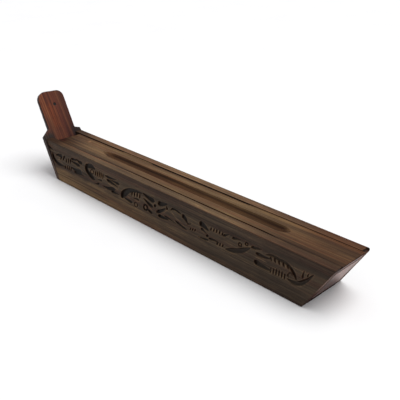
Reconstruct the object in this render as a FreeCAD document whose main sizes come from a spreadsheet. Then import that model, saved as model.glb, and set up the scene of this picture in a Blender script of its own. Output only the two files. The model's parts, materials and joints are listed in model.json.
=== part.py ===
import FreeCAD, Part
import math
import os
import Sketcher

# A wooden incense box with undercut ends. X runs along the box towards its tail, Y across it, Z up.
# The origin is the centre of the floor's underside. The head end, at -X, carries the stick holder,
# whose tab leans outwards; the lid slides off over the tail end, at +X.

DIMENSIONS = {
    "top_length": 305.0,  # length of the box along its top edges
    "box_height": 33.0,
    "top_width": 37.5,  # across the outer faces at the top
    "base_width": 42.8,  # across the outer faces at the bottom
    "head_undercut": 20.8,  # how far the head end's foot is set in from its top
    "tail_undercut": 19.0,
    "wall_thickness": 6.5,
    "floor_thickness": 4.0,
    "tail_thickness": 5.5,
    "holder_thickness": 4.1,
    "holder_flare": 1.3,  # how far the holder's near top corner stands out past the side board
    "tab_width": 26.2,
    "tab_rise": 39.6,  # from the box's top to the tab's end, along the lean
    "tab_offset": 0.4,  # from the box's middle to the middle of the tab's root, towards the far side
    "tab_skew": 1.4,  # further sideways drift of the tab's end
    "tab_fall": 1.2,  # drop of the tab's end from its near corner to its far corner
    "near_corner": 8.0,
    "far_corner": 6.5,
    "near_shoulder": 5.6,  # height at which the near shoulder meets the tab
    "far_shoulder": 1.8,
    "stick_hole": 2.4,
    "stick_hole_rise": 26.3,
    "stick_hole_offset": 2.3,  # from the box's middle, towards the far side
    "lid_thickness": 5.6,
    "lid_drop": 0.4,  # the lid's top below the side boards' tops
    "lid_side_gap": 0.35,
    "lid_head_setback": 13.2,  # from the box's top corner at the head to the lid's end
    "lid_tail_recess": 0.3,
    "slide_gap": 0.15,  # clearance above and below the lid's tongues
    "tongue_reach": 2.0,
    "tongue_height": 2.0,
    "groove_depth": 2.4,
    "trough_width": 8.7,
    "trough_depth": 3.0,
    "trough_head": 89.7,  # from the box's middle to the trough's tip at the head
    "trough_tail": 106.5,
    "trough_head_taper": 17.0,
    "trough_tail_taper": 9.0,
    "pin_diameter": 1.4,
    "pin_head": 2.6,
    "pin_head_height": 0.6,
    "pin_point": 1.6,
    "holder_pin_length": 12.0,
    "upper_pin_depth": 15.0,  # below the box's top, along the holder's lean
    "lower_pin_depth": 31.0,
    "tail_pin_length": 14.0,
    "tail_pin_spread": 9.0,  # from the box's middle to each tail pin
    "pin_sink": 0.8,  # heads of the tail pins below the floor's underside
    "spare": 5.0,  # how far a cutting shape runs past what it cuts
}

OUT = "parts"
DOC = FreeCAD.newDocument("incense_box")


def make_sheet():
    sheet = DOC.addObject("Spreadsheet::Sheet", "dimensions")
    for row, (alias, value) in enumerate(DIMENSIONS.items(), start=1):
        sheet.set(f"A{row}", alias)
        sheet.set(f"B{row}", str(value))
        sheet.setAlias(f"B{row}", alias)
    DOC.recompute()
    return sheet


SHEET = make_sheet()


def d(alias):
    return f"dimensions.{alias}"


def value_of(expression):
    result = SHEET.evalExpression(expression)
    return float(getattr(result, "Value", result))


# Angles of the two ends from the vertical, and the places where the box's sloping faces stand.
HEAD_LEAN = f"atan({d('head_undercut')} / {d('box_height')})"
TAIL_LEAN = f"atan({d('tail_undercut')} / {d('box_height')})"
HEAD_SLOPE_LENGTH = f"{d('box_height')} / cos({HEAD_LEAN})"
LID_TOP = f"({d('box_height')} - {d('lid_drop')})"
LID_UNDERSIDE = f"({LID_TOP} - {d('lid_thickness')})"
GROOVE_LOW = f"({LID_UNDERSIDE} - {d('slide_gap')})"
GROOVE_HIGH = f"({LID_UNDERSIDE} + {d('tongue_height')} + {d('slide_gap')})"
LID_HEAD = f"({d('lid_head_setback')} - {d('top_length')} / 2)"
WELL_CLEAR = f"{d('top_length')} / 2"  # reach of a cut that must run past everything on its side
SAME_POINT = 0.01  # two places closer than this are one


def head_face(height):
    """X of the head's undercut face at a height."""
    return f"({d('head_undercut')} * (1 - ({height}) / {d('box_height')}) - {d('top_length')} / 2)"


def tail_face(height):
    return f"({d('top_length')} / 2 - {d('tail_undercut')} * (1 - ({height}) / {d('box_height')}))"


def outer_face(height):
    """Y of a side board's outer face at a height."""
    half_flare = f"({d('base_width')} - {d('top_width')}) / 2"
    return f"({d('top_width')} / 2 + {half_flare} * (1 - ({height}) / {d('box_height')}))"


def inner_face(height):
    return f"({outer_face(height)} - {d('wall_thickness')})"


# Sketch and feature helpers

def new_body(name):
    return DOC.addObject("PartDesign::Body", name)


def new_sketch(body, plane, name, offset=None):
    sketch = body.newObject("Sketcher::SketchObject", f"{body.Name}_{name}")
    origin_plane = next(f for f in body.Origin.OriginFeatures if f.Role == plane)
    sketch.AttachmentSupport = [(origin_plane, "")]
    sketch.MapMode = "FlatFace"
    if offset:
        sketch.setExpression("AttachmentOffset.Base.z", offset)
    return sketch


def bind(sketch, kind, first, position, expression):
    """Hold a point's distance from the sketch's origin, or a circle's diameter, to an expression."""
    value = value_of(expression)
    if kind == "Diameter":
        index = sketch.addConstraint(Sketcher.Constraint(kind, first, value))
    else:
        index = sketch.addConstraint(Sketcher.Constraint(kind, -1, 1, first, position, value))
    sketch.setExpression(f"Constraints[{index}]", expression)


def polygon(body, plane, name, corners, offset=None):
    """A closed outline of straight edges; each corner is a pair of expressions."""
    sketch = new_sketch(body, plane, name, offset)
    points = [FreeCAD.Vector(value_of(across), value_of(up), 0) for across, up in corners]
    for start, end in zip(points, points[1:] + points[:1]):
        sketch.addGeometry(Part.LineSegment(start, end), False)
    for edge in range(len(corners)):
        following = (edge + 1) % len(corners)
        sketch.addConstraint(Sketcher.Constraint("Coincident", edge, 2, following, 1))
    for edge, (across, up) in enumerate(corners):
        bind(sketch, "DistanceX", edge, 1, across)
        bind(sketch, "DistanceY", edge, 1, up)
    return sketch


def circle(body, plane, name, across, up, diameter):
    sketch = new_sketch(body, plane, name)
    centre = FreeCAD.Vector(value_of(across), value_of(up), 0)
    sketch.addGeometry(Part.Circle(centre, FreeCAD.Vector(0, 0, 1), value_of(diameter) / 2), False)
    bind(sketch, "DistanceX", 0, 3, across)
    bind(sketch, "DistanceY", 0, 3, up)
    bind(sketch, "Diameter", 0, 0, diameter)
    return sketch


def pad(body, sketch, length, symmetric=True):
    feature = body.newObject("PartDesign::Pad", f"{sketch.Name}_pad")
    feature.Profile = sketch
    if symmetric:
        feature.SideType = "Symmetric"
    feature.setExpression("Length", length)
    return feature


def cut(body, sketch, length=None):
    """Pocket right through the body both ways, or forwards from the sketch by a length."""
    feature = body.newObject("PartDesign::Pocket", f"{sketch.Name}_pocket")
    feature.Profile = sketch
    if length:
        feature.Reversed = True
        feature.setExpression("Length", length)
    else:
        feature.SideType = "Symmetric"
        feature.Type = "ThroughAll"
    return feature


def beyond_plane(body, name, plane_x, reach):
    """Cut away all that lies past a sloping end plane, on the side that reach points to."""
    low = f"-{d('spare')}"
    high = f"{d('box_height')} + {d('spare')}"
    corners = [
        (plane_x(low), low),
        (plane_x(high), high),
        (f"{plane_x(high)} + {reach}", high),
        (f"{plane_x(high)} + {reach}", low),
    ]
    cut(body, polygon(body, "XZ_Plane", name, corners))


def trim_head_to_holder(body):
    """End a lengthwise board on the stick holder's inner face."""
    step = f"{d('holder_thickness')} / cos({HEAD_LEAN})"
    beyond_plane(body, "head_waste", lambda height: f"({head_face(height)} + {step})", f"-{WELL_CLEAR}")


def trim_tail(body, recess="0"):
    beyond_plane(body, "tail_waste", lambda height: f"({tail_face(height)} - {recess})", WELL_CLEAR)


def trim_between_walls(body):
    """Cut a board's sides to the leaning inner faces of the side boards."""
    low = f"-{d('spare')}"
    high = f"{d('box_height')} + {d('spare')}"
    for side, name in ((1, "far_waste"), (-1, "near_waste")):
        corners = [
            (f"{side} * {inner_face(low)}", low),
            (f"{side} * {inner_face(high)}", high),
            (f"{side} * {d('base_width')}", high),
            (f"{side} * {d('base_width')}", low),
        ]
        cut(body, polygon(body, "YZ_Plane", name, corners))


# Sub-parts

def make_side_wall(name, side, pins):
    """A leaning side board with a stopped groove for the lid's tongue in its inner face."""
    board = new_body(f"{name}_board")
    top, base = d("box_height"), "0"
    section = [
        (f"{side} * {outer_face(base)}", base),
        (f"{side} * {outer_face(top)}", top),
        (f"{side} * {inner_face(top)}", top),
        (f"{side} * {inner_face(base)}", base),
    ]
    pad(board, polygon(board, "YZ_Plane", "section", section), f"{d('top_length')} + {d('spare')}")
    trim_head_to_holder(board)
    trim_tail(board)
    groove_floor = f"({inner_face(GROOVE_LOW)} + {d('groove_depth')})"
    groove_mouth = f"({inner_face(top)} - {d('spare')})"
    groove = [
        (f"{side} * {groove_mouth}", GROOVE_LOW),
        (f"{side} * {groove_floor}", GROOVE_LOW),
        (f"{side} * {groove_floor}", GROOVE_HIGH),
        (f"{side} * {groove_mouth}", GROOVE_HIGH),
    ]
    groove_start = f"{LID_HEAD} - {d('slide_gap')}"
    sketch = polygon(board, "YZ_Plane", "groove", groove, groove_start)
    cut(board, sketch, d("top_length"))
    return drilled(name, board, pins)


def make_floor_board(pins):
    board = new_body("floor_board_blank")
    top, base = d("floor_thickness"), "0"
    section = [
        (f"-{inner_face(base)}", base),
        (inner_face(base), base),
        (inner_face(top), top),
        (f"-{inner_face(top)}", top),
    ]
    pad(board, polygon(board, "YZ_Plane", "section", section), f"{d('top_length')} + {d('spare')}")
    trim_head_to_holder(board)
    trim_tail(board)
    return drilled("floor_board", board, pins)


def make_tail_board(pins):
    """The sloping end board, standing on the floor board and reaching up to the lid's underside."""
    board = new_body("tail_board_blank")
    foot, head = d("floor_thickness"), GROOVE_LOW
    run = f"{d('tail_thickness')} / cos({TAIL_LEAN})"
    section = [
        (tail_face(foot), foot),
        (tail_face(head), head),
        (f"{tail_face(head)} - {run}", head),
        (f"{tail_face(foot)} - {run}", foot),
    ]
    pad(board, polygon(board, "XZ_Plane", "section", section), d("base_width"))
    trim_between_walls(board)
    return drilled("tail_board", board, pins)


def make_lid():
    """The sliding lid: a tongue along each side, and a round-bottomed trough that tapers at its ends."""
    lid = new_body("lid")
    step = f"({LID_UNDERSIDE} + {d('tongue_height')})"
    tongue = f"({inner_face(LID_UNDERSIDE)} + {d('tongue_reach')})"
    neck = f"({inner_face(step)} - {d('lid_side_gap')})"
    crown = f"({inner_face(LID_TOP)} - {d('lid_side_gap')})"
    half = [(tongue, LID_UNDERSIDE), (tongue, step), (neck, step), (crown, LID_TOP)]
    section = half + [(f"-{across}", up) for across, up in reversed(half)]
    pad(lid, polygon(lid, "YZ_Plane", "section", section), f"{d('top_length')} + {d('spare')}")
    beyond_plane(lid, "head_waste", lambda height: LID_HEAD, f"-{WELL_CLEAR}")
    trim_tail(lid, d("lid_tail_recess"))
    cut_trough(lid)
    return lid


def cut_trough(lid):
    """Revolve a tapered spindle about an axis above the lid, so only its underside bites."""
    width, depth = d("trough_width"), d("trough_depth")
    radius = f"(({width} ^ 2 / 4 + {depth} ^ 2) / (2 * {depth}))"
    axis_rise = f"({radius} - {depth})"
    axis = f"({LID_TOP} + {axis_rise})"
    overrun = f"({axis_rise} / {depth})"
    deepest = f"({LID_TOP} - {depth})"
    head, tail = f"-{d('trough_head')}", d("trough_tail")
    head_taper, tail_taper = d("trough_head_taper"), d("trough_tail_taper")
    profile = [
        (f"{head} - {head_taper} * {overrun}", axis),
        (f"{head} + {head_taper}", deepest),
        (f"{tail} - {tail_taper}", deepest),
        (f"{tail} + {tail_taper} * {overrun}", axis),
    ]
    sketch = polygon(lid, "XZ_Plane", "trough", profile)
    groove = lid.newObject("PartDesign::Groove", "lid_trough")
    groove.Profile = sketch
    groove.ReferenceAxis = (sketch, ["Edge4"])
    groove.Angle = 360


def place_in_holder_frame(piece):
    """Stand a piece on the head's undercut face: its Y runs up the lean and its Z into the box."""
    piece.setExpression("Placement.Base.x", f"-{d('top_length')} / 2")
    piece.setExpression("Placement.Base.z", d("box_height"))
    lean = math.radians(value_of(HEAD_LEAN))
    up_lean = FreeCAD.Vector(-math.sin(lean), 0, math.cos(lean))
    inwards = FreeCAD.Vector(math.cos(lean), 0, math.sin(lean))
    piece.Placement.Rotation = FreeCAD.Rotation(FreeCAD.Vector(0, 1, 0), up_lean, inwards, "ZXY")


def place_in_tail_frame(piece):
    """Stand a piece in the tail board's mid-plane at the floor's underside, its Z up the board."""
    lean = math.radians(value_of(TAIL_LEAN))
    mid_plane = f"{d('tail_thickness')} / 2 / cos({TAIL_LEAN})"
    piece.setExpression("Placement.Base.x", f"{tail_face('0')} - {mid_plane}")
    up_board = FreeCAD.Vector(math.sin(lean), 0, math.cos(lean))
    outwards = FreeCAD.Vector(math.cos(lean), 0, -math.sin(lean))
    piece.Placement.Rotation = FreeCAD.Rotation(outwards, FreeCAD.Vector(0, 1, 0), up_board, "ZXY")


def make_stick_holder(pins):
    """The sloping end plate: a full-width foot, two unequal shoulders and the tab with its stick hole."""
    plate = new_body("stick_holder_plate")
    foot_overrun = f"{d('holder_thickness')} * tan({HEAD_LEAN})"
    foot = f"-({HEAD_SLOPE_LENGTH} + {foot_overrun})"
    half_top, half_base = f"{d('top_width')} / 2", f"{d('base_width')} / 2"
    half_tab, root = f"{d('tab_width')} / 2", d("tab_offset")
    end = f"({root} + {d('tab_skew')})"
    outline = [
        (f"-{half_base}", foot),
        (half_base, foot),
        (half_top, "0"),
        (f"{root} + {half_tab}", d("far_shoulder")),
        (f"{end} + {half_tab}", f"{d('tab_rise')} - {d('tab_fall')}"),
        (f"{end} - {half_tab}", d("tab_rise")),
        (f"{root} - {half_tab}", d("near_shoulder")),
        (f"-({half_top} + {d('holder_flare')})", "0"),
    ]
    pad(plate, polygon(plate, "XY_Plane", "outline", outline), d("holder_thickness"), symmetric=False)
    ground = [
        (f"{d('spare')} * tan({HEAD_LEAN}) - {HEAD_SLOPE_LENGTH}", f"-{d('spare')}"),
        (f"-2 * {d('spare')} * tan({HEAD_LEAN}) - {HEAD_SLOPE_LENGTH}", f"2 * {d('spare')}"),
        (f"-2 * {HEAD_SLOPE_LENGTH}", f"2 * {d('spare')}"),
        (f"-2 * {HEAD_SLOPE_LENGTH}", f"-{d('spare')}"),
    ]
    cut(plate, polygon(plate, "YZ_Plane", "ground", ground))
    bore = circle(plate, "XY_Plane", "bore", d("stick_hole_offset"), d("stick_hole_rise"), d("stick_hole"))
    cut(plate, bore)
    DOC.recompute()
    for side, height, radius in ((-1, d("tab_rise"), d("near_corner")),
                                 (1, f"{d('tab_rise')} - {d('tab_fall')}", d("far_corner"))):
        corner = FreeCAD.Vector(value_of(f"{end} + {side} * {half_tab}"), value_of(height), 0)
        round_corner(plate, corner, radius)
    place_in_holder_frame(plate)
    return drilled("stick_holder", plate, pins)


def round_corner(body, corner, radius):
    """Round the edge of the body's tip that stands on a corner of its outline."""
    tip = body.Tip
    for index, edge in enumerate(tip.Shape.Edges, start=1):
        ends = [vertex.Point for vertex in edge.Vertexes]
        stands_on_corner = all(math.hypot(p.x - corner.x, p.y - corner.y) < SAME_POINT for p in ends)
        if stands_on_corner and len(ends) == 2:
            fillet = body.newObject("PartDesign::Fillet", f"{body.Name}_fillet{index}")
            fillet.Base = (tip, [f"Edge{index}"])
            fillet.setExpression("Radius", radius)
    DOC.recompute()


def make_pin(name, across, up, sink, length):
    """One brad along +Z with its head at the start: shank, point and flat head, fused."""
    radius = f"{d('pin_diameter')} / 2"
    head = DOC.addObject("Part::Cylinder", f"{name}_head")
    head.setExpression("Radius", f"{d('pin_head')} / 2")
    head.setExpression("Height", d("pin_head_height"))
    shank = DOC.addObject("Part::Cylinder", f"{name}_shank")
    shank.setExpression("Radius", radius)
    shank.setExpression("Height", f"{length} - {d('pin_point')}")
    point = DOC.addObject("Part::Cone", f"{name}_point")
    point.setExpression("Radius1", radius)
    point.setExpression("Radius2", "0")
    point.setExpression("Height", d("pin_point"))
    for piece, start in ((head, sink), (shank, sink), (point, f"{sink} + {length} - {d('pin_point')}")):
        piece.setExpression("Placement.Base.x", across)
        piece.setExpression("Placement.Base.y", up)
        piece.setExpression("Placement.Base.z", start)
    pin = DOC.addObject("Part::MultiFuse", name)
    pin.Shapes = [head, shank, point]
    return pin


def make_holder_pins():
    """Four brads through the stick holder into the middles of the side boards' ends."""
    group = DOC.addObject("Part::Compound", "holder_pins")
    pins = []
    for level in ("upper", "lower"):
        below = d(f"{level}_pin_depth")
        height = f"({d('box_height')} - {below} * cos({HEAD_LEAN}))"
        mid_wall = f"({outer_face(height)} - {d('wall_thickness')} / 2)"
        for side, side_name in ((-1, "near"), (1, "far")):
            name = f"{level}_{side_name}_pin"
            pins.append(make_pin(name, f"{side} * {mid_wall}", f"-{below}", "0", d("holder_pin_length")))
    group.Links = pins
    place_in_holder_frame(group)
    return group


def make_tail_pins():
    """Two brads driven up through the floor board along the middle of the tail board."""
    group = DOC.addObject("Part::Compound", "tail_pins")
    pins = []
    for side, side_name in ((-1, "near"), (1, "far")):
        across = f"{side} * {d('tail_pin_spread')}"
        pins.append(make_pin(f"tail_{side_name}_pin", "0", across, d("pin_sink"), d("tail_pin_length")))
    group.Links = pins
    place_in_tail_frame(group)
    return group


def make_sink(pins):
    """The short shafts above the tail pins' heads, down to the floor's underside."""
    shafts = []
    for side, side_name in ((-1, "near"), (1, "far")):
        shaft = DOC.addObject("Part::Cylinder", f"tail_{side_name}_sink")
        shaft.setExpression("Radius", f"{d('pin_head')} / 2")
        shaft.setExpression("Height", f"{d('pin_sink')} + {d('spare')}")
        shaft.setExpression("Placement.Base.y", f"{side} * {d('tail_pin_spread')}")
        shaft.setExpression("Placement.Base.z", f"-{d('spare')}")
        shafts.append(shaft)
    group = DOC.addObject("Part::Compound", "tail_pin_sinks")
    group.Links = shafts
    place_in_tail_frame(group)
    return group


def drilled(name, blank, tools):
    """Cut each tool out of the blank in turn; the last cut is the finished piece."""
    piece = blank
    for index, tool in enumerate(tools, start=1):
        remainder = DOC.addObject("Part::Cut", f"{name}_cut{index}")
        remainder.Base = piece
        remainder.Tool = tool
        piece = remainder
    piece.Label = name
    return piece


def check_and_export(pieces, solid_counts):
    DOC.recompute()
    failed = [o.Name for o in DOC.Objects if "Invalid" in o.State or "Error" in o.State]
    if failed:
        raise RuntimeError(f"failed objects: {failed}")
    for piece in pieces:
        shape = piece.Shape
        if shape.isNull() or not shape.isValid():
            raise RuntimeError(f"{piece.Label} has no valid shape")
        if len(shape.Solids) != solid_counts.get(piece.Label, 1):
            raise RuntimeError(f"{piece.Label} has {len(shape.Solids)} solids")
    os.makedirs(OUT, exist_ok=True)
    for piece in pieces:
        piece.Shape.exportStep(f"{OUT}/{piece.Label}.step")
        print(f"{piece.Label:16s} {piece.Shape.Volume:10.1f} mm3")


def main():
    holder_pins = make_holder_pins()
    tail_pins = make_tail_pins()
    pieces = [
        make_side_wall("near_side_wall", -1, [holder_pins]),
        make_side_wall("far_side_wall", 1, [holder_pins]),
        make_floor_board([tail_pins, make_sink(tail_pins)]),
        make_tail_board([tail_pins]),
        make_stick_holder([holder_pins]),
        make_lid(),
        holder_pins,
        tail_pins,
    ]
    check_and_export(pieces, {"holder_pins": 4, "tail_pins": 2})


main()
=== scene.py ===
import json
import math

import bmesh
import bpy
import numpy as np
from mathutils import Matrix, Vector


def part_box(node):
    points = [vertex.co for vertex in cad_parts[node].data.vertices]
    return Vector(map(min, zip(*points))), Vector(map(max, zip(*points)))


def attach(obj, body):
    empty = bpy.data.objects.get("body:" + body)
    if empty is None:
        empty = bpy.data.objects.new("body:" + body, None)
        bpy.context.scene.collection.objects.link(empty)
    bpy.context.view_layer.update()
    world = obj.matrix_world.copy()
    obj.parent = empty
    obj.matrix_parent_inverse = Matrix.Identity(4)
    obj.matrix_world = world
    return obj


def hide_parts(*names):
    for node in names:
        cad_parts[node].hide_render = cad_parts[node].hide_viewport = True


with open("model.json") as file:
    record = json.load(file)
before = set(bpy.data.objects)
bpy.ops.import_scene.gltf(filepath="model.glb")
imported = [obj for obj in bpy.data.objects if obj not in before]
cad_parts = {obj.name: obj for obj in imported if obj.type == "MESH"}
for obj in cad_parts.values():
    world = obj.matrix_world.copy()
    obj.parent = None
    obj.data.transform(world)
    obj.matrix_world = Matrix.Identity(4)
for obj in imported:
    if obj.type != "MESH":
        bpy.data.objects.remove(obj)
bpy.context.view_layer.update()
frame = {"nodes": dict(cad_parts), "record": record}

MM = 0.001
BODY_BOX = "box"
BODY_LID = "lid"
SAME_HEIGHT = 0.01 * MM
WELD_REACH = 0.001 * MM


# ---------------------------------------------------------------- shapes read from the frame

def level(node, height):
    """Lowest and highest x and y of a CAD node's vertices at one height."""
    points = np.array([v.co for v in frame["nodes"][node].data.vertices])
    at_height = points[np.abs(points[:, 2] - height) < SAME_HEIGHT]
    return at_height[:, :2].min(0), at_height[:, :2].max(0)


WALL_LOW, WALL_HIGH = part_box("near_side_wall")
BASE_LOW, BASE_HIGH = level("near_side_wall", WALL_LOW.z)
TOP_LOW, TOP_HIGH = level("near_side_wall", WALL_HIGH.z)
HEIGHT = WALL_HIGH.z - WALL_LOW.z
WALL_THICKNESS = TOP_HIGH[1] - TOP_LOW[1]
LID_LOW, LID_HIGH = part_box("lid")
HEAD_LEAN = math.degrees(math.atan2(BASE_LOW[0] - TOP_LOW[0], HEIGHT))


def mix(a, b, share):
    return a + (b - a) * share


def ease_between(x, low, high):
    """0 below low, 1 above high, smooth in between."""
    share = np.clip((x - low) / (high - low), 0, 1)
    return share * share * (3 - 2 * share)


def bore(name):
    """Middle, direction and radius of one of the record's round mounts."""
    found = [m for m in frame["record"]["mounts"] if m["name"] == name][0]
    return np.array(found["pos_m"]), np.array(found["axis"]), found["dims"]["r_mm"] * MM


def wall_head_x(z):
    return mix(BASE_LOW[0], TOP_LOW[0], z / HEIGHT)


def wall_tail_x(z):
    return mix(BASE_HIGH[0], TOP_HIGH[0], z / HEIGHT)


def outer_y(z):
    """Distance of a side board's outer face from the middle of the box."""
    return mix(-BASE_LOW[1], -TOP_LOW[1], z / HEIGHT)


# ---------------------------------------------------------------- smooth unevenness

PLANING = 0.22 * MM  # how deep hand planing has left the boards uneven
RIPPLE_LENGTH = 40 * MM
RIPPLE_OCTAVES = 4
RIPPLE_SWING = 0.24
CROSS_GRAIN = 3  # the unevenness wanders this much faster across the grain


def ripple(x, y, seed):
    """Smooth values between 0 and 1 that wander over a surface, as hand planing leaves it."""
    waves = np.random.default_rng(seed)
    total = np.zeros(np.broadcast(x, y).shape)
    for octave in range(1, RIPPLE_OCTAVES + 1):
        turn = waves.uniform(0, 2 * math.pi)
        phase = waves.uniform(0, 2 * math.pi)
        reach = RIPPLE_LENGTH / octave
        place = x * math.cos(turn) + y * CROSS_GRAIN * math.sin(turn)
        total = total + np.sin(place / reach * 2 + phase) / octave
    return 0.5 + RIPPLE_SWING * total


# ---------------------------------------------------------------- carved vine

class Carving:
    """Gouge cuts, and ridges lightened as rubbed stain and painted highlight, at a set of points on a
    side board's outer face.

    All places, widths and depths are in millimetres. A place is (along the box from its middle, up from
    its foot).
    """

    RIM = 0.7  # width of the lighter rim beside a cut: rubbed stain and painted highlight
    RIM_SHINE = 0.35
    RIDGE_SHINE = 1.6
    BLUNTNESS = 0.6  # how a band thins out at its ends: 1 is pointed, 0 is square
    THINNEST = 0.05
    SHALLOWEST = 0.35  # a cut's depth at its thin ends, as a share of its full depth
    CURVE_STEP = 0.25
    LEAF_ENDS = (0.18, 0.75)  # the shares of a band's length over which it thins out at head and tail
    SHORT_ENDS = (0.3, 0.3)
    RING_ENDS = (0.01, 0.01)
    COMB_EVENNESS = 0.8  # the length of a comb's first cut, as a share of its middle one's
    BETWEEN_CUTS = 0.8  # width of the ridge between two cuts of a comb, as a share of the cuts'
    BEAD_CORNERS = 8
    BEAD_SPAN = 0.3
    BEAD_FULLNESS = 1.6  # width of a bead's light top, in the ring's radii

    def __init__(self, along, up):
        self.along = along.ravel() / MM
        self.up = up.ravel() / MM
        self.depth = np.zeros(self.along.size)
        self.rubbed_highlight = np.zeros(self.along.size)

    def _reach(self, points, width, head, tail):
        """The points near a tapered band along a curve.

        Gives their indices, the band's half width and its share of the full width along the curve,
        and the distance of each point to each place on the curve.
        """
        curve = smooth_curve(points, self.CURVE_STEP)
        share = np.linspace(0, 1, len(curve))
        swell = (np.clip(share / head, 0, 1) ** self.BLUNTNESS
                 * np.clip((1 - share) / tail, 0, 1) ** self.BLUNTNESS)
        half = np.maximum(width / 2 * swell, self.THINNEST)
        low, high = curve.min(0) - width, curve.max(0) + width
        inside = (self.along > low[0]) & (self.along < high[0]) & (self.up > low[1]) & (self.up < high[1])
        picked = np.nonzero(inside)[0]
        distance = np.hypot(self.along[picked, None] - curve[:, 0], self.up[picked, None] - curve[:, 1])
        return picked, half, swell, distance

    def stroke(self, points, width, depth=1.0, head=0.25, tail=0.25):
        """A gouge cut along a smooth curve through the points, thinning out towards both ends."""
        picked, half, swell, distance = self._reach(points, width, head, tail)
        if not len(picked):
            return
        bite = np.clip(1 - distance / half, 0, 1)
        fullness = self.SHALLOWEST + (1 - self.SHALLOWEST) * swell
        cut = (bite * (2 - bite) * fullness).max(1) * depth
        self.depth[picked] = np.maximum(self.depth[picked], cut)
        rim = np.clip(1 - np.abs((distance - half).min(1) - self.RIM / 2) / self.RIM, 0, 1)
        self.rubbed_highlight[picked] = np.maximum(self.rubbed_highlight[picked], self.RIM_SHINE * rim)

    def ridge(self, points, width):
        """A raised edge lightened as rubbed stain and painted highlight."""
        picked, half, _, distance = self._reach(points, width, *self.SHORT_ENDS)
        shine = np.clip(self.RIDGE_SHINE * (1 - distance / half), 0, 1).max(1, initial=0)
        self.rubbed_highlight[picked] = np.maximum(self.rubbed_highlight[picked], shine)

    def leaf(self, start, end, width, bend=0.0, depth=1.1):
        """One pointed cut, blunt at its start; bend is the sideways bow as a share of its length."""
        start, end = np.array(start, float), np.array(end, float)
        run = end - start
        side = np.array([-run[1], run[0]])
        self.stroke([start, start + run * 0.5 + side * bend, end], width, depth, *self.LEAF_ENDS)

    def comb(self, start, end, length, count, lean=0.0, width=1.0, depth=0.7):
        """A row of short upright cuts with ridges between lightened as rubbed stain and painted
        highlight, as on a flower's fringe.
        """
        start, end = np.array(start, float), np.array(end, float)
        pitch = (end - start) / max(count - 1, 1)
        for number in range(count):
            foot = start + pitch * number
            tallness = mix(self.COMB_EVENNESS, 1, math.sin(math.pi * number / count))
            tip = foot + np.array([lean, length * tallness])
            self.stroke([foot, (foot + tip) / 2, tip], width, depth, *self.SHORT_ENDS)
            if number:
                between = [foot - pitch / 2, (foot + tip - pitch) / 2, tip - pitch / 2]
                self.ridge(between, width * self.BETWEEN_CUTS)

    def bead(self, centre, radius, width=1.0, depth=0.8):
        """A ring cut round a light bead."""
        turns = np.linspace(0, 2 * math.pi, self.BEAD_CORNERS + 1)
        ring = [(centre[0] + radius * math.cos(a), centre[1] + radius * math.sin(a)) for a in turns]
        self.stroke(ring, width, depth, *self.RING_ENDS)
        top = [(centre[0] - self.BEAD_SPAN, centre[1]), (centre[0] + self.BEAD_SPAN, centre[1])]
        self.ridge(top, radius * self.BEAD_FULLNESS)


def smooth_curve(points, step):
    """Catmull-Rom curve through the points, sampled about every step."""
    points = [np.array(p, float) for p in points]
    padded = [2 * points[0] - points[1]] + points + [2 * points[-1] - points[-2]]
    samples = []
    for a, b, c, d in zip(padded, padded[1:], padded[2:], padded[3:]):
        count = max(2, int(np.linalg.norm(c - b) / step))
        for t in np.linspace(0, 1, count, endpoint=False):
            samples.append(0.5 * (2 * b + (c - a) * t + (2 * a - 5 * b + 4 * c - d) * t * t
                                  + (3 * b - a - 3 * c + d) * t ** 3))
    samples.append(points[-1])
    return np.array(samples)


def carve_head_scrolls(carving):
    """Two scrolls, their fringes and the sheaf between them, near the stick holder."""
    carving.leaf((-146, 27.2), (-135.5, 25.4), 2.8, 0.0, 0.7)
    carving.stroke([(-138, 23.4), (-136.6, 19.2), (-133, 16.5), (-128, 15.2), (-119, 15.4)],
                   3.3, 1.3, 0.12, 0.4)
    carving.leaf((-124, 23), (-133, 21.8), 3.5, -0.1, 1.2)
    carving.leaf((-124.6, 25), (-125.6, 19.4), 2.8, 0.1, 1.1)
    carving.stroke([(-121.8, 20.2), (-120.6, 22.6), (-118.8, 25.4)], 2.0, 0.9)
    carving.ridge([(-131, 18.2), (-127, 19.6), (-122.6, 20.2)], 1.6)
    carving.ridge([(-129, 17.4), (-125, 17.8), (-121, 17.4)], 1.3)
    carving.comb((-116.8, 19.2), (-110.8, 20), 5.2, 3, 0.5, 1.7, 0.9)
    carving.comb((-118.4, 13.4), (-109.8, 13.8), 4.2, 4, 0.6, 1.6, 0.8)
    carving.leaf((-96.4, 22.2), (-110, 23.4), 2.9, 0.0, 1.3)
    carving.leaf((-109.4, 25), (-100, 25.8), 2.4, 0.05, 1.1)
    carving.leaf((-93.2, 25.6), (-102.6, 27), 3.2, 0.05, 1.3)
    carving.ridge([(-105, 26.6), (-102.4, 26), (-98, 24.2)], 1.3)
    carving.leaf((-93.8, 16.8), (-109, 17.8), 5.6, 0.03, 1.1)
    carving.leaf((-104.5, 14.8), (-89.6, 15.2), 3.0, 0.03, 1.0)
    carving.ridge([(-103, 20.4), (-96, 20.2), (-90, 19)], 1.2)
    carving.stroke([(-74.6, 25.6), (-80, 26.8), (-86.4, 25.4), (-86.8, 22.2), (-81.6, 19), (-75.2, 16.6)],
                   4.2, 1.4, 0.2, 0.12)
    carving.bead((-79.2, 22.5), 1.9, 1.0, 0.7)
    carving.comb((-74.6, 20.4), (-64.8, 20.8), 5.4, 5, 0.3, 1.6, 1.0)
    carving.leaf((-65.5, 18.8), (-72.6, 18.4), 1.8, 0.0, 0.8)
    carving.leaf((-69, 15.6), (-75.4, 14), 2.0, 0.1, 0.9)


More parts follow.
